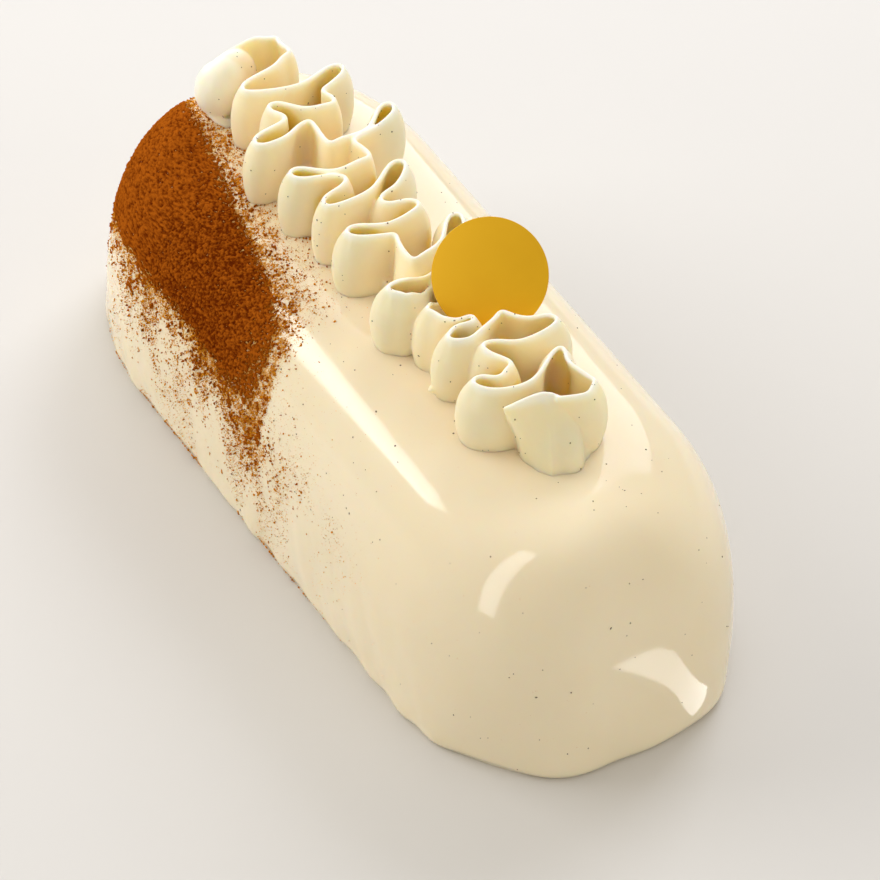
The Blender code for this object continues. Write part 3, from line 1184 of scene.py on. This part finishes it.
        # painted shade in the folds, from how shut in each vertex is; none on the first petal's open face
        set_attribute(ribbon, "fold", shut_in(ribbon, self.painted_shade_reach) * (1 - painted_lit_petal))
        # painted highlight: the rims near the top are painted paler
        top = self.loaf_top + self.rim_height
        crest = smoothstep(top - 0.0022, top - 0.0004, z)
        set_attribute(ribbon, "crest", np.maximum(crest, painted_lit_petal))
        ribbon.data.materials.clear()
        ribbon.data.materials.append(finish)
        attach(ribbon, ROOT_BODY)
        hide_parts(Node.RUFFLE.value)
        return ribbon

    def _bed(self) -> bpy.types.Object:
        """The low bed of cream that the folds stand on."""
        clear_selection()
        height = self.bed_height + self.foot_depth
        middle = self.loaf_top - self.foot_depth + height / 2
        bpy.ops.mesh.primitive_cylinder_add(
            vertices=48, radius=self.bed_half_width, depth=height, location=(0, self.bed_centre, middle)
        )
        bed = bpy.context.object
        bpy.ops.object.transform_apply(location=True, rotation=True, scale=True)
        points = vertices_of(bed)
        stretch = self.bed_half_length - self.bed_half_width
        points[:, 1] += np.where(points[:, 1] > self.bed_centre, stretch, -stretch)
        settle(bed, points)
        return bed

    def _rounded_body(self, x: float, y: float, rise: float, *radii: float) -> bpy.types.Object:
        """A rounded body of cream, with one radius for a ball or three for a longer one."""
        clear_selection()
        bpy.ops.mesh.primitive_uv_sphere_add(
            segments=24, ring_count=16, radius=1.0, location=(x, y, self.loaf_top + rise),
            scale=radii * (3 // len(radii)),
        )
        body = bpy.context.object
        bpy.ops.object.transform_apply(location=True, rotation=True, scale=True)
        return body

    def _loft(self, name: str, sections: np.ndarray) -> bpy.types.Object:
        """One closed body through rings of points that all have the same number of points.

        Args:
            name: The body's name.
            sections: The rings, each with one row for each point.

        Returns:
            The body.
        """
        rings, count = sections.shape[:2]
        faces = []
        for ring in range(rings - 1):
            here, there = ring * count, (ring + 1) * count
            for i in range(count):
                j = (i + 1) % count
                faces.append((here + i, here + j, there + j, there + i))
        ends = [list(range(count))[::-1], list(range((rings - 1) * count, rings * count))]
        mesh = bpy.data.meshes.new(name)
        mesh.from_pydata(sections.reshape(-1, 3).tolist(), [], faces + ends)
        body = bpy.data.objects.new(name, mesh)
        bpy.context.scene.collection.objects.link(body)
        take(body)
        face_outward()
        return body

    def _rounded_turns(self) -> np.ndarray:
        """The turns, with a shoulder on each side of every sharp one, so that the fold there is round."""
        start = tuple(row[:2] for row in self.first_petal)
        turns = np.array(start + self.turns, float) / 1000
        points = [turns[0]]
        for before, here, after in zip(turns, turns[1:], turns[2:]):
            into, out = here - before, after - here
            reach_in, reach_out = np.linalg.norm(into), np.linalg.norm(out)
            into, out = into / reach_in, out / reach_out
            tip = into - out
            if np.linalg.norm(tip) < 0.9:
                points.append(here)
            else:
                tip = tip / np.linalg.norm(tip)
                radius = min(self.lobe_radius, 0.3 * min(reach_in, reach_out))
                bend = np.sign(into[0] * out[1] - into[1] * out[0])
                side = np.array((-tip[1], tip[0])) * bend
                points += [here - (tip + side) * radius, here, here - (tip - side) * radius]
            if reach_out > 0.016:
                points.append((here + after) / 2 + np.array((0.0, -self.traverse_sag * reach_out)))
        points.append(turns[-1])
        return np.array(points)

    def _spline(self, points: np.ndarray) -> tuple[np.ndarray, np.ndarray]:
        """Evenly spaced points on a centripetal Catmull-Rom curve.

        Args:
            points: The points that the curve goes through.

        Returns:
            The points on the curve, and the run to each.
        """
        padded = np.vstack([2 * points[0] - points[1], points, 2 * points[-1] - points[-2]])
        dense = []
        for i in range(1, len(padded) - 2):
            p0, p1, p2, p3 = padded[i - 1:i + 3]
            t1 = np.linalg.norm(p1 - p0) ** 0.5
            t2 = t1 + np.linalg.norm(p2 - p1) ** 0.5
            t3 = t2 + np.linalg.norm(p3 - p2) ** 0.5
            for t in np.linspace(t1, t2, 14, endpoint=False):
                a1 = ((t1 - t) * p0 + t * p1) / t1
                a2 = ((t2 - t) * p1 + (t - t1) * p2) / (t2 - t1)
                a3 = ((t3 - t) * p2 + (t - t2) * p3) / (t3 - t2)
                b1 = ((t2 - t) * a1 + t * a2) / t2
                b2 = ((t3 - t) * a2 + (t - t1) * a3) / (t3 - t1)
                dense.append(((t2 - t) * b1 + (t - t1) * b2) / (t2 - t1))
        dense.append(padded[-2])
        dense = np.array(dense)
        run = np.concatenate([[0], np.cumsum(np.linalg.norm(np.diff(dense, axis=0), axis=1))])
        even = np.linspace(0, run[-1], int(run[-1] / self.path_step))
        columns = [np.interp(even, run, dense[:, i]) for i in range(dense.shape[1])]
        return np.stack(columns, axis=1), even

    def _smoothed(self, values: np.ndarray, width: float) -> np.ndarray:
        """A running average over a width counted in steps, with soft ends."""
        reach = np.arange(-math.ceil(3 * width), math.ceil(3 * width) + 1)
        weights = np.exp(-0.5 * (reach / width) ** 2)
        padded = np.pad(values, len(reach) // 2, mode="reflect", reflect_type="odd")
        return np.convolve(padded, weights / weights.sum(), mode="valid")

    def _wall_sections(self, path: np.ndarray, run: np.ndarray, rim: np.ndarray,
                       foot_shift: np.ndarray, belly: np.ndarray) -> np.ndarray:
        """The closed outline of a standing wall of cream at every step of its path.

        Args:
            path: The rim's place across and along at each step.
            run: The run to each step.
            rim: The rim's height above the loaf at each step.
            foot_shift: How far the foot stands across and along from the rim at each step.
            belly: How far the wall bulges towards the near side at each step.

        Returns:
            One ring of points for each step.
        """
        step = run[1] - run[0]
        along = np.gradient(path, axis=0)
        along /= np.linalg.norm(along, axis=1)[:, None]
        across = np.stack([along[:, 1], -along[:, 0]], axis=1)
        heading = np.unwrap(np.arctan2(along[:, 1], along[:, 0]))
        bend = self._smoothed(np.gradient(heading, run), self.swell_reach / step) * self.lobe_radius
        turned = np.tanh(self.fullness * bend)
        grown = smoothstep(*self.swell_grows, path[:, 1])
        reach = self.far_swell + (self.lobe_swell - self.far_swell) * grown
        swell = across * (reach * turned + belly)[:, None]
        drawn_in = self.far_foot_swell + (self.foot_swell - self.far_foot_swell) * grown
        foot_swell = across * (drawn_in * turned)[:, None]
        to_end = np.minimum(run, run[-1] - run)
        thick = (1 - (1 - self.end_half_thickness) * smoothstep(self.end_taper, 0.0, to_end))[:, None]
        side, rim_side = across * thick, across * thick * self.rim_half_thickness
        foot = self.loaf_top - self.foot_depth
        crest = self.loaf_top + rim
        outer, inner, top = [], [], []
        for share, swelling, leaning, half in self.wall:
            centre = path + swell * swelling + foot_swell * (1 - share) + foot_shift * leaning
            z = foot + (crest - self.rim_half_thickness - foot) * share
            outer.append(np.column_stack([centre + side * half, z]))
            inner.append(np.column_stack([centre - side * half, z]))
        for turn in self.rim_turns:
            c, s = math.cos(math.radians(turn)), math.sin(math.radians(turn))
            level = path + rim_side * c
            top.append(np.column_stack([level, crest - self.rim_half_thickness * (1 - s)]))
        return np.stack(outer + top + inner[::-1], axis=1)

    def _ribbon_sections(self) -> np.ndarray:
        """The long folded ribbon, which rises from the loaf over its first petal."""
        path, run = self._spline(self._rounded_turns())
        step = run[1] - run[0]
        path = np.stack([self._smoothed(path[:, i], self.path_softness / step) for i in (0, 1)], axis=1)
        petal = np.array(self.first_petal) / 1000
        nearest = [np.argmin(np.hypot(*(path - row[:2]).T)) for row in petal]
        stops = np.append(run[nearest], run[nearest[-1]] + 0.008)
        rows = np.column_stack([petal[:, 2], petal[:, 3:5] - petal[:, :2], petal[:, 5]])
        rows = np.vstack([rows, (self.rim_height, 0.0, 0.0, 0.0)])
        rim, shift_x, shift_y, belly = (
            self._smoothed(np.interp(run, stops, rows[:, i]), 0.002 / step) for i in range(4)
        )
        x, y, deep, wide = np.array(self.tag_dip) / 1000
        rim = rim - deep * np.exp(-((path[:, 0] - x) ** 2 + (path[:, 1] - y) ** 2) / wide**2)
        return self._wall_sections(path, run, rim, np.stack([shift_x, shift_y], axis=1), belly)

    def _last_petal_sections(self) -> np.ndarray:
        """The tongue of cream that closes the near end of the ribbon."""
        edge, run = self._spline(np.array(self.last_petal) / 1000)
        return self._wall_sections(
            edge[:, :2], run, edge[:, 2], edge[:, 3:5] - edge[:, :2], edge[:, 5]
        )


@dataclass
class GoldTag:
    """The thin round card tag that stands in the cream."""

    radius: float = 0.0158
    thickness: float = 0.0008
    edge: float = 0.00012
    sides: int = 160
    turn: float = math.radians(-32.0)
    lean: float = math.radians(45.0)
    forward: float = 0.0030      # how far it stands before the middle of its slot
    name: str = "gold_tag"

    def build(self, face: bpy.types.Material, edge: bpy.types.Material) -> bpy.types.Object:
        """Models the disc in its place and gives its face and its cut edge their finishes.

        Args:
            face: The gold of the face.
            edge: The pale cut edge.

        Returns:
            The finished piece.
        """
        clear_selection()
        low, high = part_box(Node.TAG.value)
        bpy.ops.mesh.primitive_cylinder_add(vertices=self.sides, radius=self.radius, depth=self.thickness)
        tag = bpy.context.object
        tag.name = self.name
        rim = tag.modifiers.new("edge", "BEVEL")
        rim.width = self.edge
        rim.segments = 3
        rim.limit_method = "ANGLE"
        apply_all(tag)
        tag.data.materials.append(face)
        tag.data.materials.append(edge)
        for polygon in tag.data.polygons:
            polygon.material_index = 0 if polygon.normal.z > 0.5 else 1
        turned = Matrix.Rotation(self.turn, 4, "Z") @ Matrix.Rotation(math.pi / 2 - self.lean, 4, "X")
        place = Matrix.Translation((low + high) / 2 + turned.to_3x3().col[2] * self.forward)
        tag.data.transform(place @ turned)
        bpy.ops.object.shade_smooth_by_angle(angle=math.radians(40))
        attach(tag, ROOT_BODY)
        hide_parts(Node.TAG.value)
        return tag


# The studio


@dataclass(frozen=True)
class PhotoCamera:
    """The camera at the photo's angle, with its lens and shift."""

    azimuth: float = math.radians(-32.296)
    elevation: float = math.radians(44.553)
    roll: float = math.radians(-1.715)
    target: tuple[float, float, float] = (0.0, 0.0, 0.0336)
    distance: float = 1.645164
    focal_pixels: float = 5936.3
    centre_pixel: tuple[float, float] = (413.23, 393.104)
    sensor: float = 36.0

    def build(self) -> bpy.types.Object:
        """Makes the camera and sets it as the scene's.

        Returns:
            The camera.
        """
        back = Vector((
            math.sin(self.azimuth) * math.cos(self.elevation),
            -math.cos(self.azimuth) * math.cos(self.elevation),
            math.sin(self.elevation),
        ))
        right = Vector((math.cos(self.azimuth), math.sin(self.azimuth), 0.0))
        up = back.cross(right)
        turned = Matrix((right, up, back)).transposed() @ Matrix.Rotation(-self.roll, 3, "Z")
        lens = bpy.data.cameras.new("photo_camera")
        lens.sensor_width = self.sensor
        lens.lens = self.sensor * self.focal_pixels / PHOTO_SIDE
        lens.shift_x = (PHOTO_SIDE / 2 - self.centre_pixel[0]) / PHOTO_SIDE
        lens.shift_y = (self.centre_pixel[1] - PHOTO_SIDE / 2) / PHOTO_SIDE
        lens.clip_start, lens.clip_end = 0.1, 10.0
        camera = bpy.data.objects.new("photo_camera", lens)
        bpy.context.scene.collection.objects.link(camera)
        place = Matrix.Translation(Vector(self.target) + back * self.distance)
        camera.matrix_world = place @ turned.to_4x4()
        bpy.context.scene.camera = camera
        return camera


@dataclass(frozen=True)
class Softbox:
    """One rectangular studio light, placed by its direction from the cake."""

    name: str
    azimuth: float       # degrees, 0 in front of the near end and 90 on the +X side
    elevation: float
    distance: float
    size: tuple[float, float]
    power: float
    colour: Colour = (1.0, 1.0, 1.0)
    target: tuple[float, float, float] = (0.0, 0.0, 0.04)
    only_gloss: bool = False     # seen in the glaze, but lights nothing
    no_gloss: bool = False       # lights everything, but isn't seen in the glaze

    def build(self) -> bpy.types.Object:
        """Makes the light, aimed at its target.

        Returns:
            The light.
        """
        azimuth, elevation = math.radians(self.azimuth), math.radians(self.elevation)
        out = Vector((
            math.sin(azimuth) * math.cos(elevation),
            -math.cos(azimuth) * math.cos(elevation),
            math.sin(elevation),
        ))
        lamp = bpy.data.lights.new(self.name, "AREA")
        lamp.shape = "RECTANGLE"
        lamp.size, lamp.size_y = self.size
        lamp.energy = self.power
        lamp.color = self.colour
        light = bpy.data.objects.new(self.name, lamp)
        bpy.context.scene.collection.objects.link(light)
        light.location = Vector(self.target) + out * self.distance
        light.rotation_mode = "QUATERNION"
        light.rotation_quaternion = out.to_track_quat("Z", "Y")
        light.visible_camera = False
        light.visible_diffuse = not self.only_gloss
        light.visible_glossy = not self.no_gloss
        return light


@dataclass
class Studio:
    """The floor, the lights and the pale surroundings."""

    floor_size: float = 6.0
    sky: Colour = (1.0, 0.93, 0.80)
    sky_strength: float = 0.57
    softboxes: tuple[Softbox, ...] = field(default_factory=lambda: (
        Softbox("key", 122.0, 42.0, 1.3, (0.55, 0.55), 7.0, (0.95, 0.98, 1.06), no_gloss=True),
        Softbox("left_fill", -136.0, 30.0, 1.3, (1.0, 0.7), 8.8, no_gloss=True),
        Softbox("left_strip", -142.5, 33.0, 1.3, (0.42, 0.62), 4.8, only_gloss=True),
        Softbox("left_window", -71.0, 26.0, 1.2, (0.24, 2.0), 7.2, only_gloss=True),
        Softbox("overhead", 20.0, 84.0, 1.4, (1.0, 1.0), 2.5, (0.97, 0.99, 1.04), no_gloss=True),
        Softbox("front_fill", 18.0, 16.0, 1.5, (1.3, 0.7), 2.9, no_gloss=True),
        Softbox("back_wall", 172.0, 27.0, 1.6, (3.2, 1.5), 40.0, (0.95, 0.97, 1.05), only_gloss=True),
        Softbox("floor_card", 0.0, -90.0, 0.003, (0.013, 0.050), 0.0075, target=(0.025, -0.146, 0.006),
                only_gloss=True),
    ))

    def build(self, finish: bpy.types.Material) -> bpy.types.Object:
        """Sets the floor, the lights, the surroundings and the view.

        Args:
            finish: The floor's finish.

        Returns:
            The floor.
        """
        clear_selection()
        bpy.ops.mesh.primitive_plane_add(size=self.floor_size)
        floor = bpy.context.object
        floor.name = "floor"
        floor.data.materials.append(finish)
        for softbox in self.softboxes:
            softbox.build()
        world = bpy.data.worlds.new("surroundings")
        world.use_nodes = True
        ground = world.node_tree.nodes["Background"]
        ground.inputs["Color"].default_value = (*self.sky, 1.0)
        ground.inputs["Strength"].default_value = self.sky_strength
        bpy.context.scene.world = world
        bpy.context.scene.view_settings.view_transform = "Standard"
        return floor


def report(piece: bpy.types.Object) -> None:
    """Logs a finished piece with its faces and its size."""
    size = piece.dimensions * 1000
    faces = len(piece.data.polygons)
    CAKE_LOG.info("%s: %d faces, %.1f x %.1f x %.1f mm", piece.name, faces, size.x, size.y, size.z)


def main() -> None:
    """Builds the cake piece by piece, then the studio round it."""
    logging.basicConfig(level=logging.INFO, format="%(name)s: %(message)s")
    PhotoCamera().build()
    groups = ShaderGroups()
    cocoa = CocoaFinish().build(groups)
    form, spray = LoafForm(), CocoaSpray()
    report(GlazedLoaf(form, spray).build(GlazeFinish().build(groups)))
    report(CocoaCoat(form, spray).build(cocoa))
    clumps = Sprinkle("cocoa_clumps", 12, 0.00013, 0.00040, 0.8)
    loose = CocoaFinish("loose_cocoa", light=(0.72, 0.29, 0.020), dark=(0.32, 0.085, 0.004)).build(groups)
    report(LooseCocoa(form, spray, clumps, grains=9000, seed=11, clumping=1.0).build(loose))
    powder = Sprinkle("cocoa_powder", 14, 0.00007, 0.00020, 0.8, plain=True)
    fine = CocoaFinish("fine_cocoa", light=(0.95, 0.46, 0.045), dark=(0.36, 0.10, 0.005)).build(groups)
    report(LooseCocoa(form, spray, powder, grains=48000, seed=13, clumping=0.35, evenness=1.15).build(fine))
    cream = CreamRuffle().build(CreamFinish().build(groups))
    report(cream)
    report(VanillaSeeds(form, spray).build(cream, SeedFinish().build(groups)))
    report(GoldTag().build(GoldFinish().build(groups), CardFinish().build(groups)))
    Studio().build(FloorFinish().build(groups))


if __name__ == "__main__":
    main()
